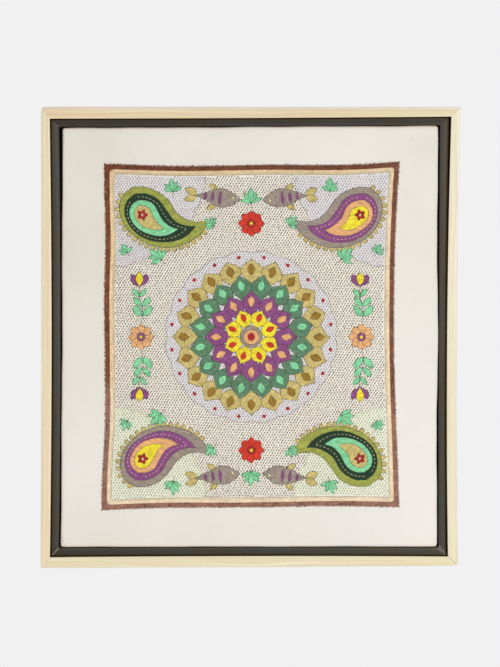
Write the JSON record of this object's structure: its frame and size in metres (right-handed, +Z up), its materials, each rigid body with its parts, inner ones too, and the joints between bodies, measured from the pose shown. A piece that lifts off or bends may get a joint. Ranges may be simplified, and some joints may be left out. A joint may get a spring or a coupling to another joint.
{
  "type": "nakshi kantha stretched in a wooden floater frame",
  "caption": "Hand-stitched kantha embroidery with a diagonal running-stitch ground, lotus and paisley motifs, stretched flat in a pale wood floater frame.",
  "frame": {"origin": "where the frame hangs from the wall: the middle of the top rail's back face, 19 mm below its top edge", "axes": "+Z up, +Y into the wall, -Y out of the embroidered face, +X to the right of a person facing it"},
  "size_m": [0.453, 0.035, 0.5],
  "materials": {
    "pale_wood": "clear satin wax on close-grained pale wood",
    "charcoal_step": "charcoal stain, satin",
    "stretcher_pine": "planed, raw",
    "kantha_cloth": "cream cotton with coloured stitching"
  },
  "bodies": {
    "root": {"rail_top": "pale_wood", "rail_right": "pale_wood", "rail_bottom": "pale_wood", "rail_left": "pale_wood", "step_top": "charcoal_step", "step_right": "charcoal_step", "step_bottom": "charcoal_step", "step_left": "charcoal_step", "bar_top": "stretcher_pine", "bar_right": "stretcher_pine", "bar_bottom": "stretcher_pine", "bar_left": "stretcher_pine", "kantha": "kantha_cloth"}
  },
  "joints": []
}
